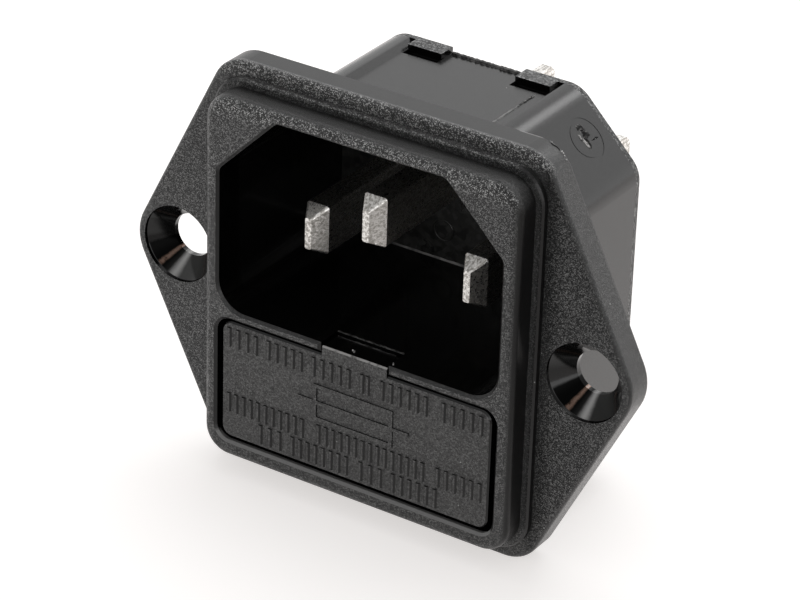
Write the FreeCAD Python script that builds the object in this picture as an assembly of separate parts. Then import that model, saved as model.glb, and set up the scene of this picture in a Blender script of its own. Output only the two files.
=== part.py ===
import FreeCAD, Part
import math
import os

from FreeCAD import Vector

# Fused C14 panel inlet: a moulded socket with a screw flange, three contact pins,
# and a drawer under the socket that carries a working fuse and a spare.
#
# Frame, in millimetres: the origin lies on the face of the panel, halfway between
# the two mounting screws.  X runs across, Y runs into the panel, Z runs up.
# Whatever stands in front of the panel therefore has a negative Y.

# --- socket recess -------------------------------------------------------------
recess_height = 16.65
recess_chamfer = 5.05
recess_top_radius = 0.7
recess_bottom_radius = 2.4
mouth_chamfer = 0.2

# --- bezel ---------------------------------------------------------------------
bezel_projection = 5.1          # front face to the panel
bezel_side_rim = 1.3            # recess edge to bezel side
bezel_top_rim = 1.0             # recess edge to bezel top
bezel_bottom_rim = 1.45         # bay edge to bezel bottom
bezel_corner_radius = 2.2
bezel_edge_radius = 0.7
ledge_width = 0.65              # low step round the foot of the bezel
ledge_height = 0.6
ledge_chamfer = 0.15

# --- flange --------------------------------------------------------------------
screw_spacing = 36.0
screw_hole_radius = 1.75
countersink_radius = 3.15
countersink_step = 0.3          # straight lip in front of the cone
countersink_depth = 1.65        # length of the cone
flange_thickness = 2.4
flange_margin = 1.05            # ledge to the flat top and bottom edges
flange_flat_overrun = 0.21      # bezel side to where the flat and sloping edges would meet
flange_point_reach = 4.3        # screw to where the two sloping edges would meet
flange_corner_radius = 3.0
flange_tip_radius = 3.85
flange_edge_radius = 0.4

# --- body behind the panel -----------------------------------------------------
side_wall = 1.05
top_wall = 0.9
corner_wall = 1.13
bottom_wall = 1.25
body_top_radius = 2.4
body_bottom_radius = 3.5
body_least_radius = 0.25        # corners of what is set into the body outline
pocket_half_width = 6.35
pocket_side_lean = 0.5          # how far the pocket's sides lean outwards
pocket_depth = 0.45
pocket_front = 1.5
window_inner = 3.2              # the two windows that the cover's hooks drop into
window_outer = 6.3
window_length = 1.1
window_depth = 0.3
window_bridge = 0.75            # body rim to window
gate_mark_radius = 1.75         # round groove where the moulding was fed
gate_mark_width = 0.25
gate_mark_depth = 0.03
gate_mark_from_rear = 2.7       # body rim to its centre
gate_mark_shift = 0.35          # centre above the middle of the sloping face

# --- drawer bay ----------------------------------------------------------------
bay_side_wall = 0.95
bay_side_room = 1.1             # drawer arm to bay side
bay_roof = 0.75                 # wall between the recess and the bay
bay_height = 10.55
bay_corner_radius = 1.2
notch_half_width = 3.0          # gap in that wall, where the drawer's tab comes up
notch_clearance = 0.2
rail_front = -2.6
rail_half_height = 1.0
rail_thickness = 0.9

# --- contact carrier and rear cover --------------------------------------------
carrier_inset = 0.65            # carrier edge inside the body outline
carrier_clearance = 0.05
carrier_thickness = 1.6
carrier_flange = 0.55
carrier_top_inset = 1.0
carrier_block_inset = 2.6
carrier_block_step = 1.7
cover_lip = 0.5
cover_boss_inset = 1.9
cover_wall = 0.7
cover_room = 0.1                # pin stub to the inside of the cover
cover_edge_chamfer = 0.3
hook_clearance = 0.05
hook_tip_length = 0.3
barrier_thickness = 0.8
barrier_height = 1.6
barrier_overrun = 2.0

# --- pins and terminals --------------------------------------------------------
pin_pitch = 14.0                # line to neutral
pin_height = 4.0
pin_thickness = 2.0
pin_row_drop = 2.175            # line and neutral pins below the middle of the recess
earth_offset = 4.0              # earth pin above that row
pin_length = 12.4
earth_length = 15.3
pin_edge_radius = 0.25
pin_tip_taper = 1.3             # length of the bevelled tip
pin_tip_side_inset = 0.72
pin_tip_end_inset = 0.72
pin_tip_radius = 0.15
tab_width = 6.3
tab_thickness = 0.8
tab_reach = 6.9                 # tab tip behind the cover
tab_tip_chamfer = 0.55
tab_rise = 0.45                 # tab's middle above the middle of its blade
tab_hole_radius = 0.85
tab_hole_from_tip = 3.9
slot_clearance = 0.05

# --- fuses, 5 x 20 mm ----------------------------------------------------------
fuse_length = 20.0
cap_radius = 2.6
cap_length = 5.6
cap_wall = 0.25
tube_radius = 2.3
tube_wall = 0.55
wire_radius = 0.12

# --- drawer --------------------------------------------------------------------
plate_side_gap = 0.47
plate_top_gap = 0.2
plate_bottom_gap = 0.35
plate_corner_radius = 0.9
plate_setback = 0.15            # drawer front behind the bezel front
plate_thickness = 2.0
plate_edge_chamfer = 0.12
tab_side_gap = 0.12
tab_drop = 0.25                 # drawer tab below the recess floor
tab_edge_chamfer = 0.12
slide_clearance = 0.08
arm_thickness = 1.1
arm_half_height = 3.5
stop_clearance = 0.05           # arm ends to the carrier with the drawer shut
tray_floor_thickness = 1.0
fuse_end_gap = 0.25
spare_gap = 0.35                # spare fuse to the walls before and behind it
cross_wall_thickness = 1.0
cross_wall_rise = 2.4           # cross wall above the fuses' middle
saddle_gap = 0.8                # cross wall to working fuse
saddle_end_gap = 1.2            # saddle to the fuse caps
saddle_half_length = 3.2
saddle_rear_gap = 0.85          # saddle to the contact carrier
saddle_lip = 0.6                # how far the saddle reaches above the fuse's middle
saddle_mouth_ease = 0.15
runner_x = 8.0
runner_width = 1.0
symbol_half_width = 3.55
symbol_half_height = 1.55
symbol_stub = 1.4
symbol_line = 0.3
symbol_relief = 0.1
symbol_rise = 0.75              # sign above the middle of the plate

# --- fuse contacts -------------------------------------------------------------
contact_thickness = 0.5
clip_half_width = 2.0
clip_reach = 2.2                # leaf tips in front of the working fuse's middle
clip_flare = 0.45
clip_flare_length = 1.0
clip_clearance = 0.05           # sprung leaf to fuse cap
riser_half_width = 1.2
eye_radius = 1.9
stub_radius = 0.9
stub_head_radius = 1.5
stub_head_height = 0.4
rivet_x = 2.8
rivet_radius = 0.8
rivet_head_radius = 1.4
rivet_head_height = 0.4
foot_margin = 1.8               # rivet to the end of the load tab's foot
foot_half_height = 2.0

# --- joining and cutting allowances --------------------------------------------
root = 0.5                      # how far one block runs into the next before joining
past = 1.0                      # how far a cutting tool runs past a face

# --- worked out from the sizes above -------------------------------------------
fuse_half = fuse_length / 2
arm_inner = fuse_half + fuse_end_gap
arm_outer = arm_inner + arm_thickness
bay_half_width = arm_outer + bay_side_room
body_half_width = bay_half_width + bay_side_wall
recess_half_width = body_half_width - side_wall
bezel_half_width = recess_half_width + bezel_side_rim
plate_half_width = bay_half_width - plate_side_gap

rims = bezel_top_rim + bezel_bottom_rim
bezel_half_height = (rims + recess_height + bay_roof + bay_height) / 2
recess_top = bezel_half_height - bezel_top_rim
recess_floor = recess_top - recess_height
bay_top = recess_floor - bay_roof
bay_bottom = bay_top - bay_height
body_top = recess_top + top_wall
body_bottom = bay_bottom - bottom_wall
body_slope = recess_half_width + recess_top - recess_chamfer + corner_wall * math.sqrt(2)
pocket_floor = body_top - pocket_depth
carrier_top = body_top - carrier_top_inset
plate_top = bay_top - plate_top_gap
plate_bottom = bay_bottom + plate_bottom_gap
fuse_z = (plate_top + plate_bottom) / 2
tray_bottom = fuse_z - cap_radius - tray_floor_thickness
symbol_z = fuse_z + symbol_rise
pin_row = (recess_top + recess_floor) / 2 - pin_row_drop
earth_z = pin_row + earth_offset
barrier_z = (pin_row + fuse_z) / 2

flange_half_height = bezel_half_height + ledge_width + flange_margin
flange_flat_half = bezel_half_width + flange_flat_overrun
flange_point_half = screw_spacing / 2 + flange_point_reach
line_x = -pin_pitch / 2
neutral_x = pin_pitch / 2

bezel_front = -bezel_projection
plate_front = bezel_front + plate_setback
plate_back = plate_front + plate_thickness
notch_depth = plate_setback + plate_thickness + notch_clearance
spare_y = plate_back + spare_gap + cap_radius
cross_wall_front = spare_y + cap_radius + spare_gap
cross_wall_rear = cross_wall_front + cross_wall_thickness
working_y = cross_wall_rear + saddle_gap + cap_radius
recess_back = working_y + saddle_half_length + saddle_rear_gap
body_depth = recess_back + carrier_flange
window_rear = body_depth - window_bridge
carrier_rear = recess_back + carrier_thickness
contact_rear = carrier_rear + contact_thickness
cover_lip_rear = body_depth + cover_lip
cover_inner = contact_rear + stub_head_height + cover_room
cover_rear = cover_inner + cover_wall
tab_tip = cover_rear + tab_reach

saddle_half_width = fuse_half - cap_length - saddle_end_gap
clip_middle = fuse_half - cap_length / 2
clip_inner = clip_middle - clip_half_width
clip_outer = clip_middle + clip_half_width
clip_front = working_y - clip_reach
leaf_inner = cap_radius + clip_clearance
foot_reach = rivet_x + foot_margin
across = Vector(1, 0, 0)


def outline(corners, y):
    """Closed wire in the plane at y; each corner is (x, z, radius)."""
    count = len(corners)
    points = [Vector(x, y, z) for x, z, _ in corners]
    starts, middles, ends = [], [], []
    for i, (_, _, radius) in enumerate(corners):
        here = points[i]
        back = (points[i - 1] - here).normalize()
        ahead = (points[(i + 1) % count] - here).normalize()
        half = back.getAngle(ahead) / 2
        reach = radius / math.tan(half)
        centre = here + (back + ahead).normalize() * (radius / math.sin(half))
        starts.append(here + back * reach)
        middles.append(centre + (here - centre).normalize() * radius)
        ends.append(here + ahead * reach)
    edges = []
    for i, (_, _, radius) in enumerate(corners):
        if radius > 0:
            edges.append(Part.Arc(starts[i], middles[i], ends[i]).toShape())
        following = starts[(i + 1) % count]
        if ends[i].distanceToPoint(following) > 1e-6:
            edges.append(Part.makeLine(ends[i], following))
    return Part.Wire(edges)


def prism(corners, y_front, y_rear):
    """Solid with that outline between two depths."""
    face = Part.Face(outline(corners, y_front))
    return face.extrude(Vector(0, y_rear - y_front, 0))


def block(x0, x1, y0, y1, z0, z1):
    """Plain box between two corners."""
    return Part.makeBox(x1 - x0, y1 - y0, z1 - z0, Vector(x0, y0, z0))


def rod(radius, x, y, z, length, direction=Vector(0, 1, 0)):
    """Cylinder that starts at (x, y, z)."""
    return Part.makeCylinder(radius, length, Vector(x, y, z), direction)


def rectangle(x0, x1, z0, z1, radius=0.0):
    """Corners of a rectangle, all rounded alike."""
    return [(x0, z0, radius), (x1, z0, radius), (x1, z1, radius), (x0, z1, radius)]


def edges_at(shape, y):
    """Edges that lie wholly in the plane at y."""
    return [edge for edge in shape.Edges
            if abs(edge.BoundBox.YMin - y) < 1e-4 and abs(edge.BoundBox.YMax - y) < 1e-4]


def both_sides(shape):
    """The shape together with its mirror image in the plane X = 0."""
    return [shape, shape.mirror(Vector(0, 0, 0), Vector(1, 0, 0))]


def flange_corners():
    """Six-sided plate: flat top and bottom edges, a point at each screw."""
    return [(-flange_flat_half, -flange_half_height, flange_corner_radius),
            (flange_flat_half, -flange_half_height, flange_corner_radius),
            (flange_point_half, 0, flange_tip_radius),
            (flange_flat_half, flange_half_height, flange_corner_radius),
            (-flange_flat_half, flange_half_height, flange_corner_radius),
            (-flange_point_half, 0, flange_tip_radius)]


def recess_tool():
    """The socket recess: sloping top corners, widely rounded bottom corners."""
    half = recess_half_width
    slope_foot = recess_top - recess_chamfer
    slope_head = half - recess_chamfer
    corners = [(-half, recess_floor, recess_bottom_radius),
               (half, recess_floor, recess_bottom_radius),
               (half, slope_foot, recess_top_radius),
               (slope_head, recess_top, recess_top_radius),
               (-slope_head, recess_top, recess_top_radius),
               (-half, slope_foot, recess_top_radius)]
    return prism(corners, bezel_front, recess_back)


def body_corners(inset, top):
    """Outline of the body behind the panel, taken in by inset, with the given top."""
    half = body_half_width - inset
    slope = body_slope - inset * math.sqrt(2)
    low = max(body_bottom_radius - inset, body_least_radius)
    high = max(body_top_radius - inset, body_least_radius)
    bottom = body_bottom + inset
    return [(-half, bottom, low),
            (half, bottom, low),
            (half, slope - half, high),
            (slope - top, top, high),
            (top - slope, top, high),
            (-half, slope - half, high)]


def front_blocks():
    """Flange, ledge and bezel, with their front edges rounded."""
    flange = prism(flange_corners(), -flange_thickness, 0)
    flange = flange.makeFillet(flange_edge_radius, edges_at(flange, -flange_thickness))
    reach_x = bezel_half_width + ledge_width
    reach_z = bezel_half_height + ledge_width
    ledge_front = -flange_thickness - ledge_height
    ledge = prism(rectangle(-reach_x, reach_x, -reach_z, reach_z,
                            bezel_corner_radius + ledge_width), ledge_front, -root)
    ledge = ledge.makeChamfer(ledge_chamfer, edges_at(ledge, ledge_front))
    bezel = prism(rectangle(-bezel_half_width, bezel_half_width, -bezel_half_height,
                            bezel_half_height, bezel_corner_radius), bezel_front, -root)
    bezel = bezel.makeFillet(bezel_edge_radius, edges_at(bezel, bezel_front))
    return [flange, ledge, bezel]


def screw_holes():
    """Countersunk holes, cut from the front of the flange."""
    cone_front = countersink_step - flange_thickness
    tools = []
    for x in (-screw_spacing / 2, screw_spacing / 2):
        tools.append(rod(screw_hole_radius, x, -flange_thickness - past, 0, flange_thickness + 2 * past))
        tools.append(rod(countersink_radius, x, -flange_thickness - past, 0, countersink_step + past))
        tools.append(Part.makeCone(countersink_radius, screw_hole_radius, countersink_depth,
                                   Vector(x, cone_front, 0), Vector(0, 1, 0)))
    return tools


def bay_tool():
    """The drawer bay, with the notch that lets the drawer's tab up to the recess."""
    bay = prism(rectangle(-bay_half_width, bay_half_width, bay_bottom, bay_top,
                          bay_corner_radius), bezel_front, recess_back)
    notch = block(-notch_half_width, notch_half_width, bezel_front,
                  bezel_front + notch_depth, bay_top - past, recess_floor + past)
    return bay.fuse(notch)


def bay_rails():
    """Guide ribs in the bay: one on each side wall and one under each end of its roof."""
    side = block(arm_outer + slide_clearance, bay_half_width + bay_side_wall / 2, rail_front,
                 recess_back, fuse_z - rail_half_height, fuse_z + rail_half_height)
    middle = (arm_inner + arm_outer) / 2
    roof = block(middle - rail_thickness / 2, middle + rail_thickness / 2, rail_front,
                 recess_back, fuse_z + arm_half_height + slide_clearance, bay_top + bay_roof / 2)
    return both_sides(side) + both_sides(roof)


def top_pocket(y_front, y_rear):
    """Shallow pocket along the top of the body, its sides leaning outwards."""
    height = pocket_depth + past
    reach = pocket_half_width + pocket_side_lean * height / pocket_depth
    corners = [Vector(x, y_front, z) for x, z in (
        (-pocket_half_width, pocket_floor), (pocket_half_width, pocket_floor),
        (reach, pocket_floor + height), (-reach, pocket_floor + height))]
    face = Part.Face(Part.makePolygon(corners + corners[:1]))
    return face.extrude(Vector(0, y_rear - y_front, 0))


def gate_mark():
    """Fine round groove in the sloping face on the +X side."""
    slope_foot = body_slope - body_half_width
    middle_z = (slope_foot + body_top) / 2 + gate_mark_shift / math.sqrt(2)
    middle = Vector(body_slope - middle_z, body_depth - gate_mark_from_rear, middle_z)
    outward = Vector(1, 0, 1).normalize()
    foot = middle - outward * gate_mark_depth
    outer = Part.makeCylinder(gate_mark_radius, gate_mark_depth + past, foot, outward)
    inner = Part.makeCylinder(gate_mark_radius - gate_mark_width, gate_mark_depth + past,
                              foot, outward)
    return outer.cut(inner)


def housing():
    """Socket moulding: flange, bezel and the walls of the body."""
    body = prism(body_corners(0, body_top), -root, body_depth)
    shape = body.multiFuse(front_blocks()).removeSplitter()
    carrier_seat = prism(body_corners(carrier_inset - carrier_clearance,
                                      carrier_top + carrier_clearance),
                         recess_back, body_depth + past)
    window = block(window_inner, window_outer, window_rear - window_length, window_rear,
                   pocket_floor - window_depth, pocket_floor + past)
    pocket = top_pocket(pocket_front, body_depth + past)
    tools = [recess_tool(), bay_tool(), carrier_seat, pocket, gate_mark()]
    shape = shape.cut(tools + both_sides(window) + screw_holes())
    fronts = [face for face in shape.Faces if abs(face.BoundBox.YMax - bezel_front) < 1e-4]
    front = max(fronts, key=lambda face: face.Area)
    mouths = [edge for wire in front.Wires if not wire.isSame(front.OuterWire)
              for edge in wire.Edges]
    shape = shape.makeChamfer(mouth_chamfer, mouths)
    return shape.multiFuse(bay_rails()).removeSplitter()


def pin_slot(x, z, height, thickness, y_front, y_rear):
    """Rectangular hole round a pin or tab."""
    return block(x - thickness / 2, x + thickness / 2, y_front, y_rear,
                 z - height / 2, z + height / 2)


def leaf_slots():
    """Openings in the carrier for the four contact leaves."""
    tools = []
    for side in (-1, 1):
        middle = fuse_z + side * (leaf_inner + contact_thickness / 2)
        tools += both_sides(block(clip_inner, clip_outer, recess_back - past, carrier_rear + past,
                                  middle - contact_thickness / 2,
                                  middle + contact_thickness / 2))
    return tools


def contact_carrier():
    """Plate that closes the back of the recess and holds the pins and contacts."""
    plate = prism(body_corners(carrier_inset, carrier_top), recess_back, body_depth)
    rear = prism(body_corners(carrier_block_inset, carrier_top - carrier_block_step),
                 body_depth, carrier_rear)
    shape = plate.fuse(rear)
    tools = leaf_slots()
    for x, z in ((line_x, pin_row), (neutral_x, pin_row), (0, earth_z)):
        tools.append(pin_slot(x, z, pin_height, pin_thickness, recess_back - past,
                              carrier_rear + past))
    foot_front = carrier_rear - tab_thickness
    tools.append(block(-tab_thickness / 2, foot_reach, foot_front, carrier_rear + past,
                       fuse_z - foot_half_height, fuse_z + foot_half_height))
    tools.append(pin_slot(0, fuse_z, tab_width, tab_thickness, foot_front, carrier_rear + past))
    tools.append(rod(rivet_head_radius, rivet_x, foot_front - rivet_head_height, fuse_z,
                     rivet_head_height + tab_thickness / 2))
    return shape.cut(tools)


def cover_hooks():
    """Two arms that reach over the rear rim and drop into the windows."""
    inner, outer = window_inner + hook_clearance, window_outer - hook_clearance
    tip_rear = window_rear - hook_clearance
    tip_front = tip_rear - hook_tip_length
    arm = block(inner, outer, tip_front, cover_lip_rear, pocket_floor, body_top)
    tip = block(inner, outer, tip_front, tip_rear,
                pocket_floor - window_depth + hook_clearance, pocket_floor)
    return both_sides(arm.fuse(tip))


def cover_barriers():
    """Ribs on the back that keep the terminals apart."""
    half = barrier_thickness / 2
    front, rear = cover_rear - cover_wall / 2, cover_rear + barrier_height
    flat = block(line_x - barrier_overrun, neutral_x + barrier_overrun, front, rear,
                 barrier_z - half, barrier_z + half)
    middle = neutral_x / 2
    upright = block(middle - half, middle + half, front, rear, barrier_z, earth_z)
    return [flat] + both_sides(upright)


def rear_cover():
    """Lid clipped over the back of the body; the terminals pass through it."""
    lip = prism(body_corners(0, pocket_floor), body_depth, cover_lip_rear)
    boss = prism(body_corners(cover_boss_inset, body_top - cover_boss_inset),
                 body_depth, cover_rear)
    boss = boss.makeChamfer(cover_edge_chamfer, edges_at(boss, cover_rear))
    side_ribs = prism(body_corners(0, body_top), body_depth, cover_lip_rear)
    hook_end = window_outer - hook_clearance
    side_ribs = side_ribs.cut(block(-hook_end, hook_end, body_depth - past,
                                    cover_lip_rear + past, pocket_floor, body_top + past))
    shape = lip.multiFuse([boss, side_ribs] + cover_hooks() + cover_barriers())
    hollow = prism(body_corners(carrier_block_inset - carrier_clearance,
                                carrier_top - carrier_block_step + carrier_clearance),
                   body_depth - past, cover_inner)
    tools = [hollow]
    grown = 2 * slot_clearance
    for x, z in ((neutral_x, pin_row + tab_rise), (0, earth_z + tab_rise), (0, fuse_z)):
        tools.append(pin_slot(x, z, tab_width + grown, tab_thickness + grown,
                              cover_inner - past, cover_rear + past))
    return shape.cut(tools).removeSplitter()


def pin_section(x, z, y, inset_x, inset_z, radius):
    """Rounded rectangle of a pin at depth y, taken in on each side."""
    half_x = pin_thickness / 2 - inset_x
    half_z = pin_height / 2 - inset_z
    return outline(rectangle(x - half_x, x + half_x, z - half_z, z + half_z, radius), y)


def pin_blade(x, z, length):
    """Solid contact blade with rounded long edges and a bevelled tip."""
    tip = recess_back - length
    shoulder = tip + pin_tip_taper
    section = pin_section(x, z, shoulder, 0, 0, pin_edge_radius)
    end = pin_section(x, z, tip, pin_tip_side_inset, pin_tip_end_inset, pin_tip_radius)
    blade = Part.Face(section).extrude(Vector(0, recess_back - shoulder, 0))
    bevel = Part.makeLoft([end, section], True, True)
    return blade.fuse(bevel)


def pin_root(x, z):
    """Square-edged part of a pin, inside the carrier."""
    return pin_slot(x, z, pin_height, pin_thickness, recess_back, carrier_rear)


def terminal_tab(x, z, front):
    """Flat push-on terminal with a drilled hole and a tapered tip."""
    low, high = z - tab_width / 2, z + tab_width / 2
    points = [(front, low), (tab_tip - tab_tip_chamfer, low), (tab_tip, low + tab_tip_chamfer),
              (tab_tip, high - tab_tip_chamfer), (tab_tip - tab_tip_chamfer, high), (front, high)]
    wire = Part.makePolygon([Vector(x - tab_thickness / 2, y, height) for y, height in points
                             + points[:1]])
    tab = Part.Face(wire).extrude(Vector(tab_thickness, 0, 0))
    hole = rod(tab_hole_radius, x - tab_thickness, tab_tip - tab_hole_from_tip, z,
               2 * tab_thickness, across)
    return tab.cut(hole)


def earth_pin():
    """Earth blade and its terminal, in one piece."""
    pieces = [pin_root(0, earth_z), terminal_tab(0, earth_z + tab_rise, carrier_rear)]
    return pin_blade(0, earth_z, earth_length).multiFuse(pieces)


def neutral_pin():
    """Neutral blade and its terminal, in one piece."""
    pieces = [pin_root(neutral_x, pin_row),
              terminal_tab(neutral_x, pin_row + tab_rise, carrier_rear)]
    return pin_blade(neutral_x, pin_row, pin_length).multiFuse(pieces)


def rivet_head(radius, height, x, z):
    """Formed head on the back of a contact strip."""
    head = rod(radius, x, contact_rear, z, height)
    return head.makeChamfer(height / 2, edges_at(head, contact_rear + height))


def line_pin():
    """Line blade; its stub is headed over the line contact."""
    stub = rod(stub_radius, line_x, carrier_rear, pin_row, contact_thickness)
    head = rivet_head(stub_head_radius, stub_head_height, line_x, pin_row)
    blade = pin_blade(line_x, pin_row, pin_length)
    return blade.multiFuse([pin_root(line_x, pin_row), stub, head])


def leaf(side, mirrored):
    """One sprung leaf, flared at its tip; side is +1 above the fuse, -1 below."""
    near = fuse_z + side * leaf_inner
    far = near + side * contact_thickness
    bend = clip_front + clip_flare_length
    flare = side * clip_flare
    points = [(carrier_rear, near), (bend, near), (clip_front, near + flare),
              (clip_front, far + flare), (bend, far), (carrier_rear, far)]
    x = -clip_outer if mirrored else clip_inner
    wire = Part.makePolygon([Vector(x, y, z) for y, z in points + points[:1]])
    return Part.Face(wire).extrude(Vector(clip_outer - clip_inner, 0, 0))


def clip(mirrored):
    """Two leaves joined by a base plate behind the carrier."""
    reach = leaf_inner + contact_thickness
    x0, x1 = (-clip_outer, -clip_inner) if mirrored else (clip_inner, clip_outer)
    base = block(x0, x1, carrier_rear, contact_rear, fuse_z - reach, fuse_z + reach)
    return base.multiFuse([leaf(1, mirrored), leaf(-1, mirrored)])


def line_contact():
    """Clip for the line end of the fuse, with a riser up to the line pin."""
    riser = block(line_x - riser_half_width, line_x + riser_half_width, carrier_rear,
                  contact_rear, fuse_z, pin_row)
    eye = rod(eye_radius, line_x, carrier_rear, pin_row, contact_thickness)
    hole = rod(stub_radius, line_x, carrier_rear - past, pin_row, contact_thickness + 2 * past)
    return clip(True).multiFuse([riser, eye]).cut(hole).removeSplitter()


def load_contact():
    """Clip for the load end of the fuse, with an arm to the load tab."""
    arm = block(rivet_x, clip_middle, carrier_rear, contact_rear, fuse_z - rivet_head_radius,
                fuse_z + rivet_head_radius)
    end = rod(rivet_head_radius, rivet_x, carrier_rear, fuse_z, contact_thickness)
    hole = rod(rivet_radius, rivet_x, carrier_rear - past, fuse_z, contact_thickness + 2 * past)
    return clip(False).multiFuse([arm, end]).cut(hole).removeSplitter()


def load_tab():
    """Switched-line terminal: a tab bent up from a foot."""
    front = carrier_rear - tab_thickness
    foot = block(0, foot_reach, front, carrier_rear, fuse_z - foot_half_height,
                 fuse_z + foot_half_height)
    hole = rod(rivet_radius, rivet_x, front - past, fuse_z, tab_thickness + 2 * past)
    tab = terminal_tab(0, fuse_z, front)
    return tab.fuse(foot).cut(hole).removeSplitter()


def load_rivet():
    """Rivet that joins the load contact to the load tab."""
    front = carrier_rear - tab_thickness
    shank = rod(rivet_radius, rivet_x, front, fuse_z, contact_rear - front)
    front_head = rod(rivet_head_radius, rivet_x, front - rivet_head_height, fuse_z,
                     rivet_head_height)
    rear_head = rivet_head(rivet_head_radius, rivet_head_height, rivet_x, fuse_z)
    return shank.multiFuse([front_head, rear_head])


def drawer_symbol():
    """Raised fuse sign: a box with the wire running through it."""
    front = plate_front - symbol_relief
    rear = plate_front + symbol_relief
    half_line = symbol_line / 2
    frame = block(-symbol_half_width, symbol_half_width, front, rear,
                  symbol_z - symbol_half_height, symbol_z + symbol_half_height)
    inside = block(-symbol_half_width + symbol_line, symbol_half_width - symbol_line,
                   front - past, rear + past, symbol_z - symbol_half_height + symbol_line,
                   symbol_z + symbol_half_height - symbol_line)
    reach = symbol_half_width + symbol_stub
    wire = block(-reach, reach, front, rear, symbol_z - half_line, symbol_z + half_line)
    return frame.cut(inside).fuse(wire)


def drawer_saddle():
    """Cradle that grips the glass of the working fuse from below."""
    cradle = block(-saddle_half_width, saddle_half_width, cross_wall_front,
                   working_y + saddle_half_length, tray_bottom, fuse_z + saddle_lip)
    reach = saddle_half_width + past
    seat = rod(tube_radius, -reach, working_y, fuse_z, 2 * reach, across)
    half_mouth = tube_radius - saddle_mouth_ease
    mouth = block(-reach, reach, working_y - half_mouth, working_y + half_mouth,
                  fuse_z, fuse_z + saddle_lip + past)
    return cradle.cut([seat, mouth])


def fuse_drawer():
    """Drawer: front plate with its tab, side arms, spare tray and fuse saddle."""
    plate = prism(rectangle(-plate_half_width, plate_half_width, plate_bottom, plate_top,
                            plate_corner_radius), plate_front, plate_back)
    plate = plate.makeChamfer(plate_edge_chamfer, edges_at(plate, plate_front))
    tab_half_width = notch_half_width - tab_side_gap
    tab = block(-tab_half_width, tab_half_width, plate_front, plate_back,
                plate_top - past, recess_floor - tab_drop)
    crest = [edge for edge in tab.Edges
             if edge.BoundBox.ZMin > plate_top and edge.BoundBox.XLength > tab_half_width]
    tab = tab.makeChamfer(tab_edge_chamfer, crest)
    arms = both_sides(block(arm_inner, arm_outer, plate_back - root,
                            recess_back - stop_clearance, tray_bottom,
                            fuse_z + arm_half_height))
    floor = block(-arm_outer, arm_outer, plate_back - root, cross_wall_rear,
                  tray_bottom, fuse_z - cap_radius)
    cross_wall = block(-arm_outer, arm_outer, cross_wall_front, cross_wall_rear,
                       tray_bottom, fuse_z + cross_wall_rise)
    runners = both_sides(block(runner_x - runner_width / 2, runner_x + runner_width / 2,
                               plate_back - root, cross_wall_rear,
                               bay_bottom + slide_clearance,
                               tray_bottom + tray_floor_thickness / 2))
    pieces = [tab, floor, cross_wall, drawer_saddle(), drawer_symbol()] + arms + runners
    return plate.multiFuse(pieces).removeSplitter()


def fuse_parts(y):
    """Pieces of one 5 x 20 mm glass fuse lying across the drawer at depth y."""
    cap = rod(cap_radius, fuse_half - cap_length, y, fuse_z, cap_length, across)
    cap = cap.cut(rod(tube_radius, fuse_half - cap_length - past, y, fuse_z,
                      cap_length + past - cap_wall, across))
    caps = both_sides(cap)
    inner_half = fuse_half - cap_wall
    tube = rod(tube_radius, -inner_half, y, fuse_z, 2 * inner_half, across)
    tube = tube.cut(rod(tube_radius - tube_wall, -fuse_half, y, fuse_z, fuse_length, across))
    wire = rod(wire_radius, -inner_half, y, fuse_z, 2 * inner_half, across)
    return {"glass": tube, "wire": wire, "cap_right": caps[0], "cap_left": caps[1]}


nodes = {
    "housing": housing(),
    "contact_carrier": contact_carrier(),
    "rear_cover": rear_cover(),
    "earth_pin": earth_pin(),
    "neutral_pin": neutral_pin(),
    "line_pin": line_pin(),
    "line_contact": line_contact(),
    "load_contact": load_contact(),
    "load_tab": load_tab(),
    "load_rivet": load_rivet(),
    "fuse_drawer": fuse_drawer(),
}
for kind, depth in (("working", working_y), ("spare", spare_y)):
    for piece, shape in fuse_parts(depth).items():
        nodes[f"{kind}_fuse_{piece}"] = shape

os.makedirs("parts", exist_ok=True)
for name, shape in nodes.items():
    shape.exportStep(f"parts/{name}.step")
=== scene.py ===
# %% [markdown]
# # A panel inlet socket with a fuse drawer
#
# The real object is a small black plastic moulding that screws into the wall of an instrument.  A mains lead
# plugs into its front, push-on terminals go on its back, and a drawer under the socket holds two glass fuses.
# The solid parts come from CAD, already in the right place.  This lesson dresses them: it gives each one a
# finish, and adds the few small things that are easier to make here than in CAD.

import bmesh
import bpy
import math
import random

from mathutils import Matrix, Vector


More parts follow.
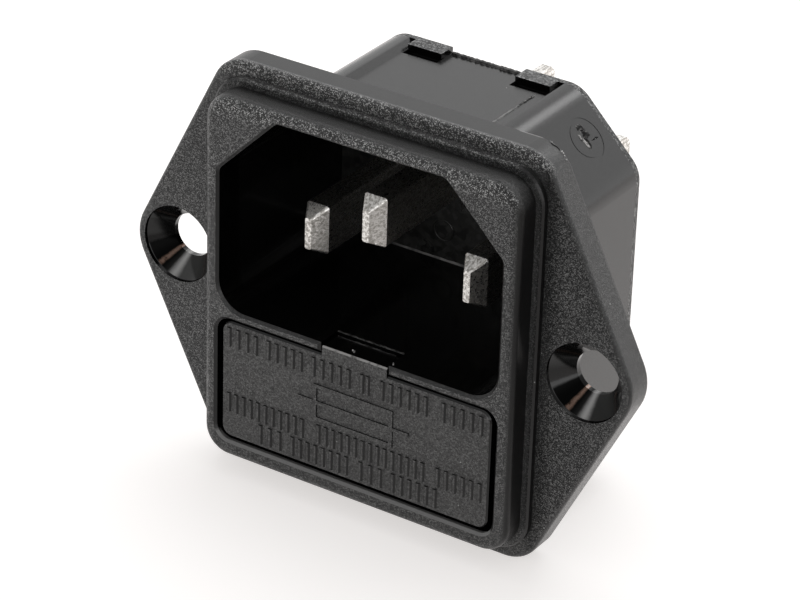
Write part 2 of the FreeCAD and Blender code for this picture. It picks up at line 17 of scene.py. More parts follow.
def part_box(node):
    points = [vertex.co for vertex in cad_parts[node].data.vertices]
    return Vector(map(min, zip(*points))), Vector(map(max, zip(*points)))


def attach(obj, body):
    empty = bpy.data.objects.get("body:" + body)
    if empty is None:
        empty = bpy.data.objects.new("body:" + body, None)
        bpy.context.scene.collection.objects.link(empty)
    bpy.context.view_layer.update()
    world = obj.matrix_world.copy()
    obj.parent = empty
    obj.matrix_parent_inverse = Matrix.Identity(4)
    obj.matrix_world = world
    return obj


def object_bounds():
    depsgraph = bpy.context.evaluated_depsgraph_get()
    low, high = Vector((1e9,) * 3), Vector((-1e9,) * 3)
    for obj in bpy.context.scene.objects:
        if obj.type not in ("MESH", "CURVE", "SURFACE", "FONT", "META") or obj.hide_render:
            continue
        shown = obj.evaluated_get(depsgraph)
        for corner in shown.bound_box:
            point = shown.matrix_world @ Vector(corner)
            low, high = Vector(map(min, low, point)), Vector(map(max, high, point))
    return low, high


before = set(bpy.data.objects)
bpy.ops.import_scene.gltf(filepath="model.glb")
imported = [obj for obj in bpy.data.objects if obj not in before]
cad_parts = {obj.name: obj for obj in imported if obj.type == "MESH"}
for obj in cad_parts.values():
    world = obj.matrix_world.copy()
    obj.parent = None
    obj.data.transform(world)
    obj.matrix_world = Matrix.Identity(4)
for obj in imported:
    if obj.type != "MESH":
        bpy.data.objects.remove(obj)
cad_low, cad_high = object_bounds()
mm = 0.001
print("CAD box in mm:", [round(v / mm, 2) for v in (*cad_low, *cad_high)])

# %% [markdown]
# ## Places that the finishes look for
#
# A finish often has to know where on the part it is: the bezel's face is sandy, and the wall beside it is not.
# The object's own coordinates can tell it that.  So the places that several finishes look for are named here
# once, in millimetres, and everything later is measured from them.  X runs across, Y runs back into the panel,
# whose face is at 0, and Z runs up.

# %% Places on the housing, in mm
bezel_face, flange_top = cad_low[1] / mm, cad_high[2] / mm
bezel_side, bezel_top = 13.65, 15.2          # from the middle to the bezel's side and top
flange_face = -2.4
ledge_face = flange_face - 0.6               # the low step round the foot of the bezel
screw_x, countersink_radius = 18.0, 3.15
lip_end = flange_face + 0.3                  # a short upright lip leads into each countersink
print("the bezel stands", round(-bezel_face, 2), "mm in front of the panel")

# %% [markdown]
# ## The camera
#
# A camera can be aimed with a Track To constraint, but a constraint has no simple way to roll the picture.  Here
# the direction is built from an azimuth and an elevation instead, and the roll is one more turn about the line
# of sight.  A long lens from a fair distance keeps the edges nearly parallel, as in a catalogue picture.

# %% Camera
def direction_to(azimuth, elevation):
    """The way from the object to a place at those angles in degrees; azimuth 0 is in front, and grows to the right."""
    a, e = math.radians(azimuth), math.radians(elevation)
    return Vector((math.sin(a) * math.cos(e), -math.cos(a) * math.cos(e), math.sin(e)))


roll = math.radians(1.8445)
camera_place = Vector((126.986, -198.210, 128.065)) * mm
camera_data = bpy.data.cameras.new("catalogue_camera")
camera_data.sensor_width = 36.0
camera_data.lens = 162.298
camera = bpy.data.objects.new("catalogue_camera", camera_data)
bpy.context.collection.objects.link(camera)
aim = (-direction_to(32.508, 28.560)).to_track_quat("-Z", "Y").to_matrix() @ Matrix.Rotation(roll, 3, "Z")
camera.matrix_world = Matrix.Translation(camera_place) @ aim.to_4x4()
bpy.context.scene.camera = camera
bpy.context.scene.view_settings.view_transform = "Standard"
print("camera is", round(camera_place.length / mm), "mm from the panel's middle")

# %% [markdown]
# ## Node helpers
#
# Materials, groups and geometry trees are all made of nodes.  A node can be added in three lines of Blender's own
# Python, but there are hundreds here, so a few short helpers make a formula readable: each takes values or the
# sockets of other nodes, and gives back a socket.

# %% Node helpers
def add_node(tree, kind, inputs=None, **settings):
    """A node of that kind, with values or links for its inputs."""
    node = tree.nodes.new(kind)
    for key, value in settings.items():
        setattr(node, key, value)
    for key, value in (inputs or {}).items():
        if isinstance(value, bpy.types.NodeSocket):
            tree.links.new(value, node.inputs[key])
        else:
            node.inputs[key].default_value = value
    return node


def maths(tree, operation, first, second=0.0, third=0.0, clamp=False):
    """The output of a Math node."""
    node = add_node(tree, "ShaderNodeMath", {0: first, 1: second, 2: third}, operation=operation, use_clamp=clamp)
    return node.outputs[0]


def chained(operation):
    """A helper that joins any number of values with that operation."""
    def join(tree, first, *others):
        for other in others:
            first = maths(tree, operation, first, other)
        return first
    return join


times, plus, smallest, largest = map(chained, ("MULTIPLY", "ADD", "MINIMUM", "MAXIMUM"))


def minus(tree, first, second):
    """The first value less the second."""
    return maths(tree, "SUBTRACT", first, second)


def scaled(tree, value, factor, offset):
    """The value times a factor, plus an offset."""
    return maths(tree, "MULTIPLY_ADD", value, factor, offset)


def size_of(tree, value):
    """The value without its sign."""
    return maths(tree, "ABSOLUTE", value)


def hypotenuse(tree, first, second):
    """The distance between two places that are that far apart in two directions."""
    return maths(tree, "SQRT", plus(tree, times(tree, first, first), times(tree, second, second)))


# %% Helpers for masks, colours and places
def ramp(tree, value, low, high):
    """0 below low, 1 above high, smooth between."""
    node = add_node(tree, "ShaderNodeMapRange", {"Value": value, "From Min": low, "From Max": high},
                    interpolation_type="SMOOTHSTEP")
    return node.outputs["Result"]


def ramp_mm(tree, value, low, high):
    """The same ramp on a length, with its ends in millimetres."""
    return ramp(tree, value, low * mm, high * mm)


def mix_value(tree, factor, first, second):
    """The first value where the factor is 0, and the second where it is 1."""
    return add_node(tree, "ShaderNodeMix", {0: factor, 2: first, 3: second}).outputs[0]


def mix_colour(tree, factor, first, second):
    """The first colour where the factor is 0, and the second where it is 1."""
    return add_node(tree, "ShaderNodeMix", {0: factor, 6: first, 7: second}, data_type="RGBA").outputs[2]


def split(tree, vector):
    """The X, Y and Z of a vector."""
    return tuple(add_node(tree, "ShaderNodeSeparateXYZ", {0: vector}).outputs)


def toward(tree, vector, way):
    """How far the vector goes in that direction."""
    return add_node(tree, "ShaderNodeVectorMath", {0: vector, 1: way}, operation="DOT_PRODUCT").outputs["Value"]


def new_material(name):
    """An empty node material and its output node."""
    material = bpy.data.materials.new(name)
    material.use_nodes = True
    tree = material.node_tree
    tree.nodes.clear()
    return material, tree, tree.nodes.new("ShaderNodeOutputMaterial")


def ray_kinds(tree):
    """Two masks: 1 for what the camera sees, straight or through glass, and 1 for what a shiny face sees."""
    path = add_node(tree, "ShaderNodeLightPath").outputs
    return largest(tree, path["Is Camera Ray"], path["Is Transmission Ray"]), path["Is Glossy Ray"]


# %% [markdown]
# ## The studio
#
# Black plastic shows its shape almost only by what it reflects, so the studio matters as much as the paint.  The
# world is a white room.  It could be one even colour, but then every face reflects the same grey and the shape
# goes flat, so shiny surfaces see a bright backdrop low down, a dimmer ceiling in front, and one small bright
# panel behind, which draws a line of light along the body's rounded edge.

# %% The white room
diffuse_light, backdrop_light, ceiling_light, panel_light = 0.50, 1.32, 0.58, 3.2
panel_way, panel_fades, panel_full = (0.130, 0.739, 0.661), 0.972, 0.995
brighter_to_the_right = 0.28
world = bpy.data.worlds.new("white_room")
bpy.context.scene.world = world
world.use_nodes = True
room = world.node_tree
room.nodes.clear()
direction = add_node(room, "ShaderNodeTexCoord").outputs["Generated"]
to_right, to_rear, to_top = split(room, direction)
overhead = times(room, ramp(room, to_top, 0.10, 0.60), ramp(room, to_rear, 0.25, -0.25))
reflected = scaled(room, overhead, ceiling_light - backdrop_light, backdrop_light)
reflected = times(room, reflected, scaled(room, to_right, brighter_to_the_right, 1.0))
panel = ramp(room, toward(room, direction, panel_way), panel_fades, panel_full)
reflected = scaled(room, panel, panel_light, reflected)
seen, shiny = ray_kinds(room)
glow = scaled(room, shiny, minus(room, reflected, diffuse_light), diffuse_light)
strength = scaled(room, seen, minus(room, 1.0, glow), glow)
background = add_node(room, "ShaderNodeBackground", {"Color": (1, 1, 1, 1), "Strength": strength})
add_node(room, "ShaderNodeOutputWorld", {"Surface": background.outputs[0]})
print("room gives", diffuse_light, "to matt faces and up to", backdrop_light, "to shiny ones")

# %% [markdown]
# ### The lamp
#
# A large square lamp above and behind lights the table, so that the object keeps a soft shadow in front of it.
# A small lamp would give a hard shadow.  It is hidden from reflections, where it would be a bright square.

# %% The lamp
lamp_way, lamp_distance, lamp_power = direction_to(-160, 62), 0.8, 3.8
lamp_data = bpy.data.lights.new("lamp_above_behind", "AREA")
lamp_data.shape = "SQUARE"
lamp_data.size = 0.75
lamp_data.energy = lamp_power
lamp = bpy.data.objects.new("lamp_above_behind", lamp_data)
bpy.context.collection.objects.link(lamp)
lamp.location = lamp_way * lamp_distance
lamp.rotation_mode = "QUATERNION"
lamp.rotation_quaternion = lamp_way.to_track_quat("Z", "Y")
lamp.visible_glossy = False
print("lamp stands", lamp_distance, "m away and gives", lamp_power, "W")

# %% [markdown]
# ### The table
#
# The table is nearly white where the camera looks straight at it, and an ordinary pale surface for everything
# else, so that it takes a shadow.  Shiny faces see it brighter behind and beside the object, where the lamp
# falls on it, and dimmer under the front; behind, part of that is painted light, a glow that the table gives
# off, and beside it the painted glow falls away so that they see only the lamp's light on it.

# %% The table
rear_way, right_way = (0.54, 0.84, 0.0), (0.77, -0.64, 0.0)
own_light, more_for_the_camera, camera_share = 1.17, 0.92, 0.30
table_material, tree, output = new_material("table_white")
seen, shiny = ray_kinds(tree)
place = add_node(tree, "ShaderNodeTexCoord").outputs["Object"]
behind = ramp_mm(tree, toward(tree, place, rear_way), -10, 25)
beside = ramp_mm(tree, toward(tree, place, right_way), 10, 45)
mirrored = largest(tree, scaled(tree, behind, 0.35, 0.45), beside)
share = largest(tree, times(tree, seen, camera_share), times(tree, shiny, mirrored))
# Painted light on the table: for shiny faces its glow rises behind the object and falls away beside it.
painted_table_glow = scaled(tree, beside, -0.80, times(tree, behind, 0.28))
glow = scaled(tree, seen, more_for_the_camera, scaled(tree, painted_table_glow, shiny, own_light))
lit = add_node(tree, "ShaderNodeBsdfDiffuse", {"Color": (0.86, 0.86, 0.86, 1)})
even = add_node(tree, "ShaderNodeEmission", {"Color": (1.0, 0.965, 0.945, 1), "Strength": glow})
both = add_node(tree, "ShaderNodeMixShader", {0: share, 1: lit.outputs[0], 2: even.outputs[0]})
tree.links.new(both.outputs[0], output.inputs["Surface"])

half = 1.5
table_mesh = bpy.data.meshes.new("table")
table_mesh.from_pydata([(-half, -half, 0), (half, -half, 0), (half, half, 0), (-half, half, 0)], [], [(0, 1, 2, 3)])
table_mesh.transform(Matrix.Translation((0, 0, cad_low[2])))
table_mesh.materials.append(table_material)
table = bpy.data.objects.new("table", table_mesh)
bpy.context.collection.objects.link(table)
print("table top at", round(cad_low[2] / mm, 2), "mm")

# %% [markdown]
# ## The sandy skin of a moulding
#
# The black parts are all moulded in steel tools, and a tool that was spark-eroded leaves the same sandy skin on
# each of them: fine grains, of which some catch the light and some are pits.  A shader node group is a recipe
# with named inputs, so the skin is made once and each plastic sets its own grain.  Noise alone looks cloudy, so
# half of the pattern is Voronoi cells, each with a grey of its own.

# %% Group helpers
FLOAT, COLOUR, GEOMETRY = "NodeSocketFloat", "NodeSocketColor", "NodeSocketGeometry"


def new_group(name, kind, inputs, outputs):
    """A node group; inputs and outputs are (name, socket type, default)."""
    group = bpy.data.node_groups.new(name, kind)
    for way, sockets in (("INPUT", inputs), ("OUTPUT", outputs)):
        for label, socket_type, default in sockets:
            socket = group.interface.new_socket(label, in_out=way, socket_type=socket_type)
            if default is not None:
                socket.default_value = default
    return group, group.nodes.new("NodeGroupInput").outputs, group.nodes.new("NodeGroupOutput").inputs


def object_noise(tree, size, detail=2.0, roughness=0.5):
    """Noise on the object's own coordinates, with grains about that size in metres."""
    place = add_node(tree, "ShaderNodeTexCoord").outputs["Object"]
    noise = {"Vector": place, "Scale": maths(tree, "DIVIDE", 1.0, size), "Detail": detail, "Roughness": roughness}
    return add_node(tree, "ShaderNodeTexNoise", noise).outputs["Fac"]


def object_cells(tree, size):
    """Voronoi cells about that size: the distance from each one's middle, and a random grey for each."""
    place = add_node(tree, "ShaderNodeTexCoord").outputs["Object"]
    cells = add_node(tree, "ShaderNodeTexVoronoi", {"Vector": place, "Scale": maths(tree, "DIVIDE", 1.0, size)})
    return cells.outputs["Distance"], add_node(tree, "ShaderNodeSeparateColor", {0: cells.outputs["Color"]}).outputs[0]


# %% Spark-eroded skin
skin, entry, leave = new_group(
    "spark_eroded_skin", "ShaderNodeTree",
    [("Plain Colour", COLOUR, (0.012, 0.012, 0.012, 1)), ("Fleck Colour", COLOUR, (0.06, 0.06, 0.06, 1)),
     ("Grain Size", FLOAT, 0.0001), ("Roughness", FLOAT, 0.45)],
    [("Colour", COLOUR, None), ("Roughness", FLOAT, None), ("Height", FLOAT, None), ("Glint", FLOAT, None)])
pit_black, pit_depth, cloud_size = (0.002, 0.002, 0.002, 1), 0.7, 4 * mm
grain = object_noise(skin, entry["Grain Size"], 2.0, 0.6)
_, grit = object_cells(skin, times(skin, entry["Grain Size"], 0.95))
speckle = plus(skin, times(skin, grit, 0.5), times(skin, grain, 0.5))
fleck = ramp(skin, speckle, 0.46, 0.86)
pits = times(skin, ramp(skin, speckle, 0.42, 0.28), pit_depth)
pitted = mix_colour(skin, pits, entry["Plain Colour"], pit_black)
shift = times(skin, minus(skin, object_noise(skin, cloud_size), 0.5), 0.2)
skin.links.new(mix_colour(skin, fleck, pitted, entry["Fleck Colour"]), leave["Colour"])
skin.links.new(maths(skin, "ADD", entry["Roughness"], shift, clamp=True), leave["Roughness"])
skin.links.new(grain, leave["Height"])
skin.links.new(fleck, leave["Glint"])
print("the skin group has", len(skin.nodes), "nodes")

# %% [markdown]
# ### Dust
#
# A plastic part in a drawer gathers a few pale specks.  They could be scattered as tiny meshes, but a pattern is
# enough for something so flat: Voronoi cells far apart, of which a few are chosen, with a dot in the middle.

# %% Settled dust
dust_grey = (0.5, 0.5, 0.49, 1)
dust, entry, leave = new_group(
    "settled_dust", "ShaderNodeTree",
    [("Colour", COLOUR, (0.04, 0.04, 0.04, 1)), ("Spacing", FLOAT, 0.0012), ("Speck", FLOAT, 0.07)],
    [("Colour", COLOUR, None)])
distance, lot = object_cells(dust, entry["Spacing"])
speck = times(dust, ramp(dust, distance, entry["Speck"], 0.0), ramp(dust, lot, 0.72, 0.8))
dust.links.new(mix_colour(dust, speck, entry["Colour"], dust_grey), leave["Colour"])
print("the dust group has", len(dust.nodes), "nodes")

# %% [markdown]
# ## Where the front is sandy
#
# The front faces carry the sandy skin, while the walls that slide out of the tool are polished.  One material
# can do both: the way a face looks and its height above the panel tell the front faces from the walls.  Two
# crests, along the top of the bezel and of the flange, catch the light most, and their grains stand out more;
# the grains' colour there is changed too, a painted highlight on the bright ones and painted shade on the rest.

# %% Masks for the sandy faces
shoulder_sand, wall_sand, ledge_sand, flange_edge_sand = 0.32, 0.04, 0.85, 0.35


def own_place(tree):
    """X, Y and Z in the object's own coordinates, in metres."""
    return split(tree, add_node(tree, "ShaderNodeTexCoord").outputs["Object"])


def own_facing(tree):
    """X, Y and Z of the way that a face looks."""
    return split(tree, add_node(tree, "ShaderNodeNewGeometry").outputs["True Normal"])


def looks_forward(tree, facing_y):
    """1 on faces that look forward."""
    return ramp(tree, facing_y, -0.70, -0.95)


def before_flange(tree, y):
    """1 in front of the flange's face."""
    return ramp_mm(tree, y, flange_face + 0.05, flange_face - 0.05)


def sandy_faces(tree):
    """Three masks: how sandy a face is, where it belongs to a crest, and where it stands proud."""
    _, y, z = own_place(tree)
    facing_x, facing_y, facing_z = own_facing(tree)
    raised = ramp_mm(tree, y, flange_face + 0.4, flange_face - 0.1)
    shoulder = scaled(tree, times(tree, raised, size_of(tree, facing_z)), shoulder_sand, wall_sand)
    proud = ramp_mm(tree, y, bezel_face + 0.5, bezel_face + 0.2)
    bezel_crest = times(tree, proud, ramp_mm(tree, z, bezel_top - 1.9, bezel_top - 0.9))
    flange_crest = times(tree, ramp_mm(tree, z, flange_top - 1.6, flange_top - 0.9),
                         ramp_mm(tree, y, flange_face + 1.0, flange_face + 0.5))
    crest = largest(tree, bezel_crest, flange_crest)
    ledge = times(tree, ramp_mm(tree, y, flange_face + 0.7, flange_face + 0.2), crest, ledge_sand)
    flange_edge = times(tree, ramp_mm(tree, y, 0.0, -0.1), size_of(tree, facing_x),
                        minus(tree, 1.0, before_flange(tree, y)), flange_edge_sand)
    return largest(tree, looks_forward(tree, facing_y), shoulder, ledge, flange_edge), crest, proud


# %% [markdown]
# ### Painted shade
#
# Shade is painted in where less light falls: in the foot of the bezel, on its side walls, on the flange to its
# right and along the bottom.  It both darkens a face and stops it shining, and colour alone can't do that, because
# a black plastic's look is its reflection.  A nearly black colour that is partly metallic does.

# %% Mask for the painted shade
foot_shade, side_wall_shade, beside_bezel_shade, bottom_shade = 0.50, 0.55, 0.50, 0.22


def painted_shade(tree):
    """How much painted shade each place gets."""
    x, y, z = own_place(tree)
    facing_x, facing_y, _ = own_facing(tree)
    from_foot = hypotenuse(tree, minus(tree, y, (ledge_face - 0.1) * mm), minus(tree, z, (bezel_top + 0.05) * mm))
    foot = times(tree, ramp_mm(tree, from_foot, 0.65, 0.25), foot_shade)
    side_walls = times(tree, before_flange(tree, y), ramp(tree, size_of(tree, facing_x), 0.6, 0.9), side_wall_shade)
    beside = times(tree, ramp_mm(tree, x, bezel_side + 2.55, bezel_side + 0.65), looks_forward(tree, facing_y),
                   ramp_mm(tree, x, bezel_side + 0.25, bezel_side + 0.45), beside_bezel_shade)
    bottom = times(tree, ramp_mm(tree, z, 2.0 - bezel_top, 0.8 - bezel_top), bottom_shade)
    return largest(tree, foot, side_walls, beside, bottom)


# %% [markdown]
# ## Black moulded plastic
#
# Four plastics come from one function, which sets the skin's grain and lays the masks over it.  The clear coat
# of the Principled shader serves as the shine of single grains: it covers the surface only where the skin's
# glint is high.  What differs between the pieces, their polished faces and their marks, is passed in; all but
# the cover's also get painted shade and painted highlights on the crests.

# %% Moulded plastic
# The polished black is darker than the wall black: partly the polished finish, partly painted shade.
wall_black, polished_shaded_black = (0.008, 0.0077, 0.0077, 1), (0.003, 0.003, 0.003, 1)
polished_roughness = 0.13
crest_highlight_gain, crest_highlight_base = 3.9, -0.65          # painted highlight and shade: on a crest the bright grains' colour is far brighter and the rest darker


def plastic(name, plain, fleck, grain, relief, glint, sheen, skin_everywhere=False, polished=None, marks=None):
    """Moulded plastic: sandy facing forward, finer on walls, polished and painted darker where that mask is 1, marked,
    and with painted shade.
    """
    material, tree, output = new_material(name)
    sandy = add_node(tree, "ShaderNodeGroup", {"Plain Colour": plain, "Fleck Colour": fleck, "Grain Size": grain,
                                               "Roughness": sheen}, node_tree=skin).outputs
    colour, sand, painted_darkening = sandy["Colour"], 1.0, 0.0
    if not skin_everywhere:
        sand, crest, proud = sandy_faces(tree)
        # Painted highlight on the crests: the bright grains' colour is scaled far up and the rest down.
        painted_sparkle = scaled(tree, ramp(tree, sandy["Glint"], 0.10, 0.65), crest_highlight_gain, crest_highlight_base)
        crest_highlight = {0: colour, "Scale": scaled(tree, crest, painted_sparkle, 1.0)}
        colour = add_node(tree, "ShaderNodeVectorMath", crest_highlight, operation="SCALE").outputs[0]
        glint = scaled(tree, plus(tree, crest, proud), 0.25 * glint, glint)
    colour = mix_colour(tree, sand, wall_black, colour)
    satin = scaled(tree, ramp_mm(tree, own_place(tree)[1], 0.02, -0.05), 0.17, 0.19)
    roughness = mix_value(tree, sand, satin, sandy["Roughness"])
    colour = add_node(tree, "ShaderNodeGroup", {"Colour": colour}, node_tree=dust).outputs["Colour"]
    # Polished faces are also painted darker: painted shade deep in the recess and bay, on hidden faces and on the
    # hooks.
    if polished:
        polished_and_shaded = polished(tree)
        colour = mix_colour(tree, polished_and_shaded, colour, polished_shaded_black)
        roughness = mix_value(tree, polished_and_shaded, roughness, polished_roughness)
        sand = times(tree, sand, minus(tree, 1.0, polished_and_shaded))
    if marks:
        colour, painted_darkening = marks(tree, colour)
    shine = times(tree, sandy["Glint"], sand, glint)
    if not skin_everywhere:
        # Painted shade: darker and less shiny in the bezel's foot, on its side walls, beside it and along the bottom.
        shade_here = painted_shade(tree)
        painted_darkening = largest(tree, painted_darkening, shade_here)
        shine = times(tree, shine, minus(tree, 1.0, shade_here))
    bump = add_node(tree, "ShaderNodeBump", {"Strength": 1.0, "Distance": relief,
                                             "Height": times(tree, sandy["Height"], sand)})
    surface = add_node(tree, "ShaderNodeBsdfPrincipled",
                       {"Base Color": colour, "Roughness": roughness, "Normal": bump.outputs[0], "IOR": 1.5,
                        "Metallic": painted_darkening, "Coat Weight": shine, "Coat Roughness": 0.25, "Coat IOR": 1.7})
    tree.links.new(surface.outputs[0], output.inputs["Surface"])
    return material


# %% [markdown]
# ### Polished faces
#
# The recess, the drawer's bay and the countersinks are shaped by polished steel.  Their walls are found by how
# far inside the housing's outline they lie.  The drawer is polished all but its front, and so are the fronts of
# the rear cover's two hooks and the sides of the left one.  All these faces also take a darker black: partly the
# polish, and partly painted shade in the recess and the bay, on the drawer's hidden faces and its ribs' sides,
# and on the hooks' fronts and the left hook's sides.

# %% Masks for the polished faces
cut_corner = 22.3          # across plus up, in the middle of the wall round the recess's cut corners


def from_screw_hole(tree, x, z):
    """The distance from the middle of the nearer screw hole."""
    return hypotenuse(tree, minus(tree, size_of(tree, x), screw_x * mm), z)


def inside_the_moulding(tree):
    """1 on the polished walls of the recess, of the drawer's bay and of the countersinks, which are painted darker
    too.
    """
    x, y, z = own_place(tree)
    aside = size_of(tree, x)
    to_side = minus(tree, (bezel_side - 0.75) * mm, aside)
    to_top = minus(tree, (bezel_top - 0.8) * mm, size_of(tree, z))
    to_cut_corner = minus(tree, minus(tree, cut_corner * mm, aside), z)
    to_front = minus(tree, y, (bezel_face + 0.22) * mm)
    to_rim = minus(tree, (countersink_radius + 0.05) * mm, from_screw_hole(tree, x, z))
    sunk = minus(tree, y, (flange_face + 0.02) * mm)
    nearest = largest(tree, smallest(tree, to_side, to_top, to_cut_corner, to_front), smallest(tree, to_rim, sunk))
    return ramp_mm(tree, nearest, 0.0, 0.03)


def behind_the_plate(tree):
    """1 on every polished face of the drawer, which is all but its front and takes the ribs' sides too, painted
    darker.
    """
    return ramp(tree, own_facing(tree)[1], -0.90, -0.75)


def shaded_hook_faces(tree):
    """1 on the faces of the cover's hooks that look forward, and on the left hook's sides: painted shade."""
    facing_x, facing_y, _ = own_facing(tree)
    aside = times(tree, ramp(tree, size_of(tree, facing_x), 0.80, 0.95), ramp_mm(tree, own_place(tree)[0], 0.5, -0.5))
    return largest(tree, ramp(tree, facing_y, -0.80, -0.95), aside)


# %% [markdown]
# ### Marks and painted highlights
#
# Screws were driven home here once, and left a rusty streak down each countersink.  Beside it the cones carry
# a pale painted highlight, a grey painted reflection and a dark painted reflection, and the short lip round each
# has painted shade.  Each streak follows the cone, so it is a sector of angles round the hole's axis, with a noisy
# edge.  The sharp sill under the drawer, the top of the flange's rear edge and the pull tab carry pale painted
# highlights.

# %% Marks in the screw holes
hole_turn = math.radians(6)                  # the streaks of both holes are turned outwards by this much
# The pale and grey streaks are painted highlight and painted reflection; the brown one is rust.
reflection_grey, rust, highlight_grey = (0.045, 0.045, 0.044, 1), (0.19, 0.105, 0.070, 1), (0.42, 0.415, 0.41, 1)


def screw_hole_marks(tree, colour):
    """The colour with the streaks in it, and a mask of painted darkness: the dark painted reflection, and painted
    shade on the lip.
    """
    x, y, z = own_place(tree)
    hand = maths(tree, "SIGN", x)
    turn = maths(tree, "ARCTAN2", z, scaled(tree, hand, -screw_x * mm, x))
    turn = scaled(tree, hand, -hole_turn, turn)
    reach = from_screw_hole(tree, x, z)
    to_rim = minus(tree, (countersink_radius - 0.01) * mm, reach)
    sunk = minus(tree, y, (lip_end + 0.02) * mm)
    cone = ramp_mm(tree, smallest(tree, to_rim, sunk), 0.0, 0.04)
    cloud = minus(tree, object_noise(tree, 0.5 * mm, 4.0, 0.6), 0.5)

    def streak(middle, full, gone):
        """A sector of the cone round that angle: whole to `full` degrees from it, and gone at `gone`."""
        off = size_of(tree, minus(tree, turn, math.radians(middle)))
        off = scaled(tree, cloud, math.radians(3), off)
        return times(tree, cone, ramp(tree, off, math.radians(gone), math.radians(full)))

    # A pale painted highlight, a grey painted reflection and a dark painted reflection down each cone.
    painted_highlight_streak, painted_reflection, dark_reflection = streak(-97, 0, 12), streak(-70, 14, 52), streak(-131, 24, 30)
    patchy = plus(tree, cloud, maths(tree, "DIVIDE", reach, 6 * mm))
    rusty = times(tree, streak(-124, 0, 6), ramp(tree, patchy, 0.62, 0.36))
    for mask, paint in ((painted_reflection, reflection_grey), (rusty, rust), (painted_highlight_streak, highlight_grey)):
        colour = mix_colour(tree, mask, colour, paint)
    dark_reflection = maths(tree, "SUBTRACT", dark_reflection, largest(tree, rusty, painted_highlight_streak), clamp=True)
    # Painted shade on the short upright lip round each cone.
    lip_shade = smallest(tree, minus(tree, (lip_end + 0.02) * mm, y), minus(tree, y, (flange_face + 0.02) * mm))
    lip_shade = times(tree, ramp_mm(tree, lip_shade, 0.0, 0.03),
                ramp_mm(tree, reach, countersink_radius + 0.05, countersink_radius + 0.03))
    return colour, largest(tree, dark_reflection, lip_shade)


# %% Painted highlights on edges
sill_highlight_grey, edge_highlight_grey, tab_highlight_grey = (0.20, 0.197, 0.194, 1), (0.26, 0.255, 0.25, 1), (0.42, 0.41, 0.40, 1)


def housing_marks_and_highlights(tree, colour):
    """The marks in the screw holes, a painted highlight on the sill under the drawer, and one on the flange's rear
    edge.
    """
    x, y, z = own_place(tree)
    colour, dark = screw_hole_marks(tree, colour)
    # Painted highlight along the sill under the drawer, where its upward edge would catch the light.
    sill_highlight = times(tree, ramp(tree, own_facing(tree)[2], 0.15, 0.45), ramp_mm(tree, z, 2.2 - bezel_top, 1.9 - bezel_top),
                 ramp_mm(tree, y, bezel_face + 0.55, bezel_face + 0.35))
    colour = mix_colour(tree, sill_highlight, colour, sill_highlight_grey)
    # Painted highlight on the flange's rear top edge.
    from_middle = size_of(tree, minus(tree, x, 11.25 * mm))
    edge_highlight = times(tree, ramp_mm(tree, y, -0.10, -0.05), ramp_mm(tree, from_middle, 1.1, 0.8),
                 ramp_mm(tree, z, flange_top - 0.3, flange_top - 0.2))
    return mix_colour(tree, edge_highlight, colour, edge_highlight_grey), dark


def tab_edge_highlight(tree, colour):
    """A painted highlight in patches on the pull tab's top edge."""
    _, facing_y, facing_z = own_facing(tree)
    # Painted highlight on the tab's upward-facing top edge.
    edge_highlight = times(tree, ramp(tree, facing_y, -0.50, -0.60), ramp(tree, facing_z, 0.50, 0.60),
                 ramp_mm(tree, own_place(tree)[2], -3.3, -3.1),
                 ramp(tree, object_noise(tree, 0.6 * mm, 3.0), 0.20, 0.50))
    return mix_colour(tree, edge_highlight, colour, tab_highlight_grey), 0.0


# %% The four plastics
def dress(material, *nodes):
    """Gives CAD parts a material."""
    for name in nodes:
        for material_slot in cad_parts[name].material_slots:
            material_slot.material = material
    print(material.name, "on", *nodes)


black, fleck_grey = (0.009, 0.009, 0.0092, 1), (0.13, 0.13, 0.127, 1)
drawer_black, drawer_fleck = (0.044, 0.0425, 0.0420, 1), (0.10, 0.10, 0.098, 1)
carrier_black, carrier_fleck = (0.016, 0.016, 0.015, 1), (0.04, 0.04, 0.038, 1)
housing_plastic = plastic("housing_plastic", black, fleck_grey, grain=0.075 * mm, relief=0.15 * mm, glint=1.5,
                          sheen=0.36, polished=inside_the_moulding, marks=housing_marks_and_highlights)
drawer_plastic = plastic("drawer_plastic", drawer_black, drawer_fleck, grain=0.10 * mm, relief=0.08 * mm, glint=0.5,
                         sheen=0.45, polished=behind_the_plate, marks=tab_edge_highlight)
cover_plastic = plastic("cover_plastic", black, fleck_grey, grain=0.11 * mm, relief=0.14 * mm, glint=1.6, sheen=0.4,
                        skin_everywhere=True, polished=shaded_hook_faces)
carrier_plastic = plastic("carrier_plastic", carrier_black, carrier_fleck, grain=0.5 * mm, relief=0.02 * mm,
                          glint=0.3, sheen=0.3)
dress(housing_plastic, "housing")
dress(drawer_plastic, "fuse_drawer")
dress(cover_plastic, "rear_cover")
dress(carrier_plastic, "contact_carrier")

# %% [markdown]
# ## Metal
#
# The pins are brass under a coat of tin.  Tin is soft and never quite even, so its colour and its shine both
# wander a little between two states, and faint lines run the way that the strip was drawn.
#
# CAD gives the pins' tips flat tapers, but every plug that is pushed on wears them rounder.  The last trace of
# that is in the normal: it leans forward on the tapers, and less on the flanks that plugs rub least.

# %% Normal for the worn tips
full_lean, less_on_the_left, less_on_the_right = 0.42, 0.18, 0.22


